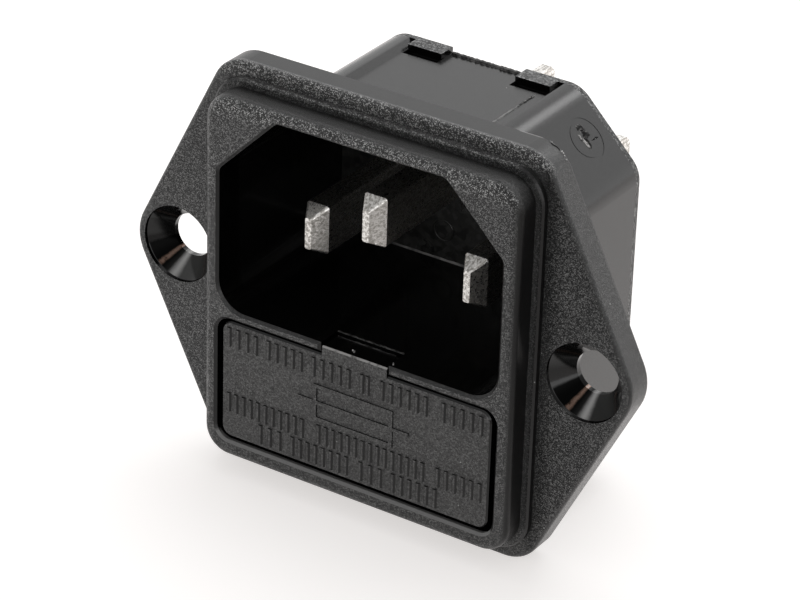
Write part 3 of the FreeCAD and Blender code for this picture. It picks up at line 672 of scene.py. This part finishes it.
def worn_round(tree):
    """A normal that leans forward on the tapers of the pins' tips, which plugs have worn round."""
    normal = add_node(tree, "ShaderNodeNewGeometry").outputs["Normal"]
    facing_x, facing_y, _ = split(tree, normal)
    x, y, _ = own_place(tree)
    taper = times(tree, ramp(tree, facing_y, -0.30, -0.40), ramp(tree, facing_y, -0.97, -0.90),
                  ramp_mm(tree, y, 0.7, 0.5))
    left_pin, right_pin = ramp_mm(tree, x, -3, -4), ramp_mm(tree, x, 3, 4)
    less = plus(tree, times(tree, left_pin, less_on_the_left), times(tree, right_pin, less_on_the_right))
    amount = minus(tree, full_lean, times(tree, ramp(tree, facing_x, 0.30, 0.50), less))
    lean = add_node(tree, "ShaderNodeCombineXYZ", {"Y": times(tree, taper, amount, -1.0)}).outputs[0]
    tilted = add_node(tree, "ShaderNodeVectorMath", {0: normal, 1: lean}, operation="ADD").outputs[0]
    return add_node(tree, "ShaderNodeVectorMath", {0: tilted}, operation="NORMALIZE").outputs[0]


# %% Metals
def metal(name, bright, dull, patch, roughness, spread, relief=0.01 * mm, tips=False):
    """Bare or plated metal whose colour and shine wander between two states, with faint drawn lines."""
    material, tree, output = new_material(name)
    place = add_node(tree, "ShaderNodeTexCoord").outputs["Object"]
    along = add_node(tree, "ShaderNodeMapping", {"Vector": place, "Scale": (1.0, 0.08, 1.0)}).outputs[0]
    lines = {"Vector": along, "Scale": 1 / (0.12 * mm), "Detail": 3.0}
    drawn = add_node(tree, "ShaderNodeTexNoise", lines).outputs["Fac"]
    mixed = scaled(tree, drawn, 0.45, times(tree, object_noise(tree, patch, 4.0, 0.6), 0.55))
    state = ramp(tree, mixed, 0.40, 0.62)
    rough = scaled(tree, minus(tree, 1.0, state), spread, roughness)
    bump = add_node(tree, "ShaderNodeBump", {"Strength": 1.0, "Distance": relief, "Height": mixed})
    if tips:
        tree.links.new(worn_round(tree), bump.inputs["Normal"])
    surface = add_node(tree, "ShaderNodeBsdfPrincipled",
                       {"Base Color": mix_colour(tree, state, dull, bright), "Roughness": rough, "Metallic": 1.0,
                        "Normal": bump.outputs[0]})
    tree.links.new(surface.outputs[0], output.inputs["Surface"])
    return material


tin = metal("tin_plating", (0.94, 0.92, 0.89, 1), (0.42, 0.40, 0.37, 1), 0.26 * mm, 0.22, 0.25,
            relief=0.013 * mm, tips=True)
bronze = metal("bronze_strip", (0.78, 0.58, 0.34, 1), (0.52, 0.36, 0.20, 1), 0.8 * mm, 0.25, 0.2)
brass = metal("rivet_brass", (0.80, 0.66, 0.38, 1), (0.55, 0.42, 0.22, 1), 0.5 * mm, 0.25, 0.2)
nickel = metal("nickel_cap", (0.78, 0.77, 0.74, 1), (0.60, 0.59, 0.56, 1), 1.2 * mm, 0.16, 0.12)
wire_metal = metal("fuse_wire_metal", (0.70, 0.66, 0.60, 1), (0.48, 0.44, 0.40, 1), 0.4 * mm, 0.25, 0.2)
fuses = ("working_fuse", "spare_fuse")
dress(tin, "earth_pin", "neutral_pin", "line_pin", "load_tab")
dress(bronze, "line_contact", "load_contact")
dress(brass, "load_rivet")
dress(nickel, *[f"{fuse}_cap_{side}" for fuse in fuses for side in ("left", "right")])
dress(wire_metal, *[f"{fuse}_wire" for fuse in fuses])

# %% [markdown]
# ### Fuse glass
#
# The fuses' tubes are clear glass that fingers have touched.  Clear plastic or glass is a Principled shader with
# its Transmission Weight at 1, and the touch is a little roughness in patches.

# %% Fuse glass
fuse_glass, tree, output = new_material("fuse_glass")
smudge = ramp(tree, object_noise(tree, 1.5 * mm, 3.0), 0.45, 0.75)
clear = add_node(tree, "ShaderNodeBsdfPrincipled",
                 {"Base Color": (0.93, 0.97, 0.95, 1), "Roughness": scaled(tree, smudge, 0.12, 0.03), "IOR": 1.5,
                  "Transmission Weight": 1.0})
tree.links.new(clear.outputs[0], output.inputs["Surface"])
dress(fuse_glass, *[f"{fuse}_glass" for fuse in fuses])

# %% [markdown]
# ## Pieces of the scene's own
#
# Everything from here on is a thin piece that lies on a CAD part.  What repeats is made by a small tree of
# Geometry Nodes on a guide mesh: the guide's points or lines say where, and the tree says what.  The tree ends in
# Realize Instances and Set Material, and its result is kept as a plain mesh.  Each piece rides on a body, so that
# it moves with it.

# %% Helpers for the pieces
def new_geometry_tree(name, inputs):
    """A geometry tree that takes a guide, the inputs and a finish."""
    inputs = [("Geometry", GEOMETRY, None), *inputs, ("Finish", "NodeSocketMaterial", None)]
    return new_group(name, "GeometryNodeTree", inputs, [("Geometry", GEOMETRY, None)])


def finish_tree(tree, entry, leave, instances):
    """Realize Instances and Set Material, at the end of a tree."""
    solid = add_node(tree, "GeometryNodeRealizeInstances", {"Geometry": instances})
    painted = add_node(tree, "GeometryNodeSetMaterial", {"Geometry": solid.outputs[0], "Material": entry["Finish"]})
    tree.links.new(painted.outputs[0], leave[0])
    print(tree.name, "tree has", len(tree.nodes), "nodes")


def guide_mesh(name, places, lines=()):
    """Points at those places in mm, and lines between them."""
    guide = bpy.data.meshes.new(name)
    guide.from_pydata([Vector(place) * mm for place in places], lines, [])
    return guide


def place_piece(name, mesh, body):
    """An object for the mesh, riding on a body."""
    piece = bpy.data.objects.new(name, mesh)
    bpy.context.collection.objects.link(piece)
    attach(piece, body)
    print(name, "has", len(mesh.polygons), "faces")
    return piece


def grown(name, guide, tree, values, material, body):
    """Runs the tree on a guide mesh and keeps the result as a plain mesh that rides on a body."""
    maker = bpy.data.objects.new(name + "_guide", guide)
    bpy.context.collection.objects.link(maker)
    modifier = maker.modifiers.new("tree", "NODES")
    modifier.node_group = tree
    sockets = {item.name: item.identifier for item in tree.interface.items_tree if item.in_out == "INPUT"}
    for label, value in {**values, "Finish": material}.items():
        modifier[sockets[label]] = value
    evaluated = maker.evaluated_get(bpy.context.evaluated_depsgraph_get())
    mesh = bpy.data.meshes.new_from_object(evaluated)
    mesh.name = name
    bpy.data.objects.remove(maker)
    return place_piece(name, mesh, body)


# %% [markdown]
# ### Raised ribs on the drawer's front
#
# The drawer's plate carries three broken rows of fine raised ribs, above and below the fuse sign.  They are all
# one shape, so straight lines are drawn where the rows go, and the tree sets a rib at every step along each line.
# A rib narrows towards its top, because a moulding has to slide out of its tool.

# %% Rib tree
ribs, entry, leave = new_geometry_tree("rib_rows", [
    ("Pitch", FLOAT, 0.0005), ("Width", FLOAT, 0.0003), ("Height", FLOAT, 0.0015), ("Relief", FLOAT, 0.0001),
    ("Draft", FLOAT, 0.7)])
line = add_node(ribs, "GeometryNodeMeshToCurve", {"Mesh": entry["Geometry"]})
stations = add_node(ribs, "GeometryNodeResampleCurve", {"Curve": line.outputs[0], "Length": entry["Pitch"]},
                    mode="LENGTH")
size = add_node(ribs, "ShaderNodeCombineXYZ", {"X": entry["Width"], "Y": entry["Relief"], "Z": entry["Height"]})
rib = add_node(ribs, "GeometryNodeMeshCube", {"Size": size.outputs[0]})
facing_y = split(ribs, add_node(ribs, "GeometryNodeInputNormal").outputs[0])[1]
is_top = add_node(ribs, "FunctionNodeCompare", {0: facing_y, 1: -0.5}, operation="LESS_THAN")
tapered = add_node(ribs, "GeometryNodeScaleElements",
                   {"Geometry": rib.outputs[0], "Selection": is_top.outputs[0], "Scale": entry["Draft"],
                    "Axis": (1, 0, 0)}, scale_mode="SINGLE_AXIS")
row = add_node(ribs, "GeometryNodeInstanceOnPoints", {"Points": stations.outputs[0], "Instance": tapered.outputs[0]})
finish_tree(ribs, entry, leave, row.outputs[0])

# %% Rib rows
plate_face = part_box("fuse_drawer")[0][1] / mm
rib_middle = plate_face + 0.06               # so that a rib stands 0.03 mm proud and the rest is bedded
row_spans = {                                # the height of each row, and where its ribs start and stop
    -4.70: [(-11.30, -8.85), (-7.70, -4.75), (-3.60, -0.45), (0.75, 1.25), (2.55, 6.35), (7.90, 11.15)],
    -10.35: [(-11.30, -4.55), (-3.05, 6.25), (7.60, 11.25)],
    -12.22: [(-8.35, -6.60), (-5.40, -0.50), (0.80, 2.55), (3.70, 7.40)],
}
ends = [(x, rib_middle, height) for height, spans in row_spans.items() for span in spans for x in span]
guide = guide_mesh("rib_guide", ends, [(i, i + 1) for i in range(0, len(ends), 2)])
rib_values = {"Pitch": 0.66 * mm, "Width": 0.52 * mm, "Height": 1.60 * mm, "Relief": 0.18 * mm, "Draft": 0.36}
grown("drawer_ribs", guide, ribs, rib_values, drawer_plastic, "drawer")

# %% [markdown]
# ### Rings from the ejector pins
#
# Pins push a moulding out of its tool, and each leaves a faint ring.  The rings repeat, so they are a second
# tree: a circle swept with a flat profile, set on each point of the guide mesh.

# %% Ring tree
rings, entry, leave = new_geometry_tree("ejector_rings", [
    ("Radius", FLOAT, 0.001), ("Width", FLOAT, 0.0001), ("Relief", FLOAT, 0.00008)])
circle = add_node(rings, "GeometryNodeCurvePrimitiveCircle", {"Resolution": 40, "Radius": entry["Radius"]})
profile = add_node(rings, "GeometryNodeCurvePrimitiveQuadrilateral",
                   {"Width": entry["Width"], "Height": entry["Relief"]})
hoop = add_node(rings, "GeometryNodeCurveToMesh", {"Curve": circle.outputs[0], "Profile Curve": profile.outputs[0]})
upright = add_node(rings, "GeometryNodeTransform", {"Geometry": hoop.outputs[0], "Rotation": (math.pi / 2, 0, 0)})
placed = add_node(rings, "GeometryNodeInstanceOnPoints",
                  {"Points": entry["Geometry"], "Instance": upright.outputs[0]})
finish_tree(rings, entry, leave, placed.outputs[0])

# %% Rings on the carrier
recess_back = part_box("contact_carrier")[0][1] / mm
guide = guide_mesh("carrier_rings_points", [(x, recess_back, 0.1) for x in (-2.8, 2.8)])
ring_values = {"Radius": 0.85 * mm, "Width": 0.14 * mm, "Relief": 0.09 * mm}
grown("carrier_rings", guide, rings, ring_values, carrier_plastic, "inlet")

# %% [markdown]
# ### The torn gate
#
# Plastic enters the tool through a small gate, which is broken off afterwards.  It leaves a ragged scar: dark
# pits, and thin pale edges where the plastic was stretched.  A grid of points with seeded random heights makes
# it, closed underneath so that it is a solid flake bedded in the wall.  Torn plastic is mottled, so it gets a
# finish of its own between two greys, and so do the thin strips further down, most of them painted highlights.

# %% Torn and stretched plastic
def two_tone(name, size, low, high, dark, light, sheen, index):
    """Plastic mottled between two greys."""
    material, tree, output = new_material(name)
    spots = ramp(tree, object_noise(tree, size, 3.0), low, high)
    colour = mix_colour(tree, spots, (dark, dark, dark, 1), (light, 0.98 * light, 0.96 * light, 1))
    surface = add_node(tree, "ShaderNodeBsdfPrincipled", {"Base Color": colour, "Roughness": sheen, "IOR": index})
    tree.links.new(surface.outputs[0], output.inputs["Surface"])
    return material


torn = two_tone("torn_plastic", 0.20 * mm, 0.52, 0.64, 0.003, 0.26, 0.55, 1.3)
stretched_white = two_tone("stretched_plastic", 0.25 * mm, 0.38, 0.58, 0.16, 0.75, 0.50, 1.4)
# Three of these greys colour thin strips further down that are painted highlights, and one also a bead.
foot_highlight_grey = two_tone("foot_highlight_plastic", 0.9 * mm, 0.35, 0.65, 0.10, 0.36, 0.35, 1.5)
pocket_highlight_grey = two_tone("pocket_highlight_plastic", 0.7 * mm, 0.35, 0.65, 0.05, 0.20, 0.35, 1.5)
bead_and_highlight_grey = two_tone("bead_and_highlight_plastic", 0.5 * mm, 0.40, 0.65, 0.012, 0.10, 0.40, 1.4)
print("five greys for torn and thin plastic")


# %% Ragged flakes
flake_columns, flake_rows = 26, 9
flake_bedded, flake_sunk = 0.10 * mm, 0.02 * mm    # its underside and its rim lie this deep in the wall


def keep_mesh(name, bm, material):
    """Turns the faces outwards and keeps the bmesh as a mesh with that finish."""
    bmesh.ops.recalc_face_normals(bm, faces=bm.faces)
    mesh = bpy.data.meshes.new(name)
    bm.to_mesh(mesh)
    bm.free()
    mesh.materials.append(material)
    return mesh


def flake_layer(bm, dice, centre, along, normal, length, width, height, top):
    """A grid of points that narrows to its ends: ragged heights on top, or a flat bedded underside."""
    side = normal.cross(along)
    grid = []
    for i in range(flake_columns):
        u = 2 * i / (flake_columns - 1) - 1
        bend = 0.16 * width * math.sin(3.1 * u + 0.4)
        reach = math.sqrt(max(0.0, 1 - u * u)) * (0.5 + 0.5 * dice.random())
        for j in range(flake_rows):
            v = 2 * j / (flake_rows - 1) - 1
            rise = (1 - v * v) * (1 - u ** 4) * height * (0.25 + 0.75 * dice.random())
            depth = rise - flake_sunk if top else -flake_bedded
            place = centre + along * (u * length / 2) + side * (bend + v * reach * width / 2) + normal * depth
            grid.append(bm.verts.new(place))
    return grid


def ragged_flake(name, centre, along, normal, length, width, height, seed, material):
    """A closed, ragged patch in mm on the housing: two layers of points, joined round their rim."""
    dice = random.Random(seed)
    columns, rows = flake_columns, flake_rows
    bm = bmesh.new()
    sizes = (Vector(centre) * mm, along, normal, length * mm, width * mm, height * mm)
    top, bottom = [flake_layer(bm, dice, *sizes, on_top) for on_top in (True, False)]
    for i in range(columns - 1):
        for j in range(rows - 1):
            corners = (i * rows + j, (i + 1) * rows + j, (i + 1) * rows + j + 1, i * rows + j + 1)
            bm.faces.new([top[k] for k in corners])
            bm.faces.new([bottom[k] for k in reversed(corners)])
    rim = list(range(rows)) + [(i + 1) * rows - 1 for i in range(1, columns)]
    rim += [(columns - 1) * rows + j for j in range(rows - 2, -1, -1)] + [i * rows for i in range(columns - 2, 0, -1)]
    for here, there in zip(rim, rim[1:] + rim[:1]):
        bm.faces.new((top[here], top[there], bottom[there], bottom[here]))
    bmesh.ops.remove_doubles(bm, verts=bm.verts, dist=0.0005 * mm)
    return place_piece(name, keep_mesh(name, bm, material), "inlet")


# %% Gate scar
slope_out = Vector((1, 0, 1)).normalized()
gate_flakes = (
    # name, middle, direction, length, width, height, seed, finish
    ("gate_scar", (10.06, 9.45, 13.038), (1.0, -0.55, -1.0), 1.35, 1.35, 0.14, 5, torn),
    ("gate_tail", (10.60, 9.22, 12.498), (1.0, -0.28, -1.0), 1.35, 0.50, 0.12, 8, torn),
    ("gate_lip", (10.55, 8.92, 12.548), (1.0, 0.16, -1.0), 1.50, 0.30, 0.17, 3, stretched_white),
    ("gate_dash", (10.70, 10.15, 12.398), (0.1, 0.85, -0.1), 1.00, 0.26, 0.08, 4, torn))
for name, middle, run, *shape in gate_flakes:
    ragged_flake(name, middle, Vector(run).normalized(), slope_out, *shape)

# %% [markdown]
# ### A nick in the flange
#
# The rounded upper right corner of the flange has taken a knock on its rear edge.  A nick is the same torn
# plastic on a small scale, so the same flake serves, laid along the round of the corner.

# %% Nick in the flange's rear edge
corner_x, corner_z, corner_radius = 12.0, flange_top - 3.0, 3.0


def on_the_corner(degrees, y):
    """A place on the round of the flange's upper right corner, in mm."""
    turn = math.radians(degrees)
    return corner_x + corner_radius * math.sin(turn), y, corner_z + corner_radius * math.cos(turn)


nick_angle = math.radians(26)
nick_out = Vector((math.sin(nick_angle), 0, math.cos(nick_angle)))
nick_run = Vector((nick_out.z, 0, -nick_out.x))
ragged_flake("flange_nick", on_the_corner(26, -0.13), nick_run, nick_out, 0.90, 0.24, 0.09, 9, torn)

# %% [markdown]
# ### Painted lines of light and shade, and a bead
#
# Thin strips stand in for lines of light and shade.  A pale painted highlight lies where the contact carrier
# meets the floor of the recess, grey painted highlights lie behind the drawer's tab and along the tab itself, and
# on top of the body a line along the pocket's edge is a painted highlight in front and painted shade behind.
# The rear edge of the body carries a thicker, rougher bead.  Each is a narrow strip whose size wavers, and one
# function in mesh code draws them all from an outline.

# %% Thin strips
def thin_strip(name, start, stop, section, waver, seed, material, body, slot):
    """A closed strip from start to stop in mm; section is its outline, as (aside, up)."""
    dice = random.Random(seed)
    start, stop = Vector(start), Vector(stop)
    up = Vector((0, 0, 1))
    aside = up.cross(stop - start).normalized()
    bm = bmesh.new()
    steps, count, rows = 40, len(section), []
    for i in range(steps + 1):
        middle = start.lerp(stop, i / steps)
        size = 1 + waver * (2 * dice.random() - 1)
        sizes = [size if rise > 0 else 1 for _, rise in section]
        rows.append([bm.verts.new((middle + aside * out * k + up * rise * k) * mm)
                     for (out, rise), k in zip(section, sizes)])
    for here, there in zip(rows, rows[1:]):
        for k in range(count):
            bm.faces.new((here[k], there[k], there[(k + 1) % count], here[(k + 1) % count]))
    bm.faces.new(rows[0])
    bm.faces.new(rows[-1])
    return place_piece(name, keep_mesh(name, bm, material), body)


# %% The lines
recess_floor, body_rear, body_top = -2.45, 12.35, 14.65
notch_y, tab_y, tab_top = -2.74, -3.02, -2.70
foot = [(0.05, -0.05), (0.05, 0.20), (-0.14, -0.05)]
thin_line = [(0.05, -0.05), (0.04, 0.05), (-0.05, 0.05), (-0.06, -0.05)]
bead = [(0.02, -0.10), (0.02, 0.12), (-0.12, 0.20), (-0.30, 0.16), (-0.42, -0.06)]
pocket_line = [(0.12, -0.03), (0.06, 0.05), (-0.06, 0.05), (-0.12, -0.03)]
# Painted highlights: the recess foot, notch and tab lines and the front of the pocket line; its rear is painted shade.
strips = (
    # name, start, stop, outline, waver, seed, finish, body, slot
    ("recess_foot_highlight", (-9.6, recess_back, recess_floor), (9.6, recess_back, recess_floor), foot, 0.20, 11, foot_highlight_grey,
     "inlet", "carrier_plastic"),
    ("notch_highlight_line", (-2.95, notch_y, recess_floor), (2.95, notch_y, recess_floor), thin_line, 0.50, 12, bead_and_highlight_grey,
     "inlet", "housing_plastic"),
    ("tab_highlight_line", (-2.75, tab_y, tab_top), (2.4, tab_y, tab_top), thin_line, 0.50, 13, bead_and_highlight_grey,
     "drawer", "drawer_plastic"),
    ("rear_edge_bead", (-3.12, body_rear, body_top), (3.12, body_rear, body_top), bead, 0.25, 14, bead_and_highlight_grey,
     "inlet", "housing_plastic"),
    ("pocket_edge_highlight", (5.64, 0.5, body_top), (5.67, 7.5, body_top), pocket_line, 0.35, 15, pocket_highlight_grey,
     "inlet", "housing_plastic"),
    ("pocket_edge_shade", (5.67, 7.5, body_top), (5.70, 9.6, body_top), pocket_line, 0.35, 16, torn,
     "inlet", "housing_plastic"))
for strip in strips:
    thin_strip(*strip)

# %% [markdown]
# ### Crumbs
#
# Handling leaves a few pale crumbs of plastic on the edges.  They are one small lump repeated, so Geometry Nodes
# sets it on each point of a guide, turned and sized at random from a fixed seed.

# %% Crumb tree
crumbs, entry, leave = new_geometry_tree("crumbs", [("Size", FLOAT, 0.0001), ("Seed", "NodeSocketInt", 1)])
lump = add_node(crumbs, "GeometryNodeMeshIcoSphere", {"Radius": entry["Size"], "Subdivisions": 2})
turned = add_node(crumbs, "FunctionNodeRandomValue", {"Max": (6.2, 6.2, 6.2), "Seed": entry["Seed"]},
                  data_type="FLOAT_VECTOR")
sized = add_node(crumbs, "FunctionNodeRandomValue", {"Min": (0.5, 0.4, 0.4), "Max": (1.2, 0.9, 0.7),
                                                     "Seed": entry["Seed"]}, data_type="FLOAT_VECTOR")
scattered = add_node(crumbs, "GeometryNodeInstanceOnPoints",
                     {"Points": entry["Geometry"], "Instance": lump.outputs[0], "Rotation": turned.outputs[0],
                      "Scale": sized.outputs[0]})
finish_tree(crumbs, entry, leave, scattered.outputs[0])

# %% Crumbs on the edges
corner_crumbs = [on_the_corner(*spot) for spot in (
    (15, -0.02), (18, -0.04), (37, -0.08), (40, -0.05), (44, -0.12), (49, -0.22), (50, -0.18))]
notch_crumbs = [(3.08, -4.4, -2.45), (3.2, -4.6, -2.45)]
grown("edge_crumbs", guide_mesh("edge_crumbs_points", corner_crumbs + notch_crumbs), crumbs,
      {"Size": 0.09 * mm, "Seed": 3}, stretched_white, "inlet")
grown("tab_crumbs", guide_mesh("tab_crumbs_points", [(-0.6, -4.22, -2.68), (-0.42, -4.34, -2.70)]), crumbs,
      {"Size": 0.16 * mm, "Seed": 5}, stretched_white, "drawer")
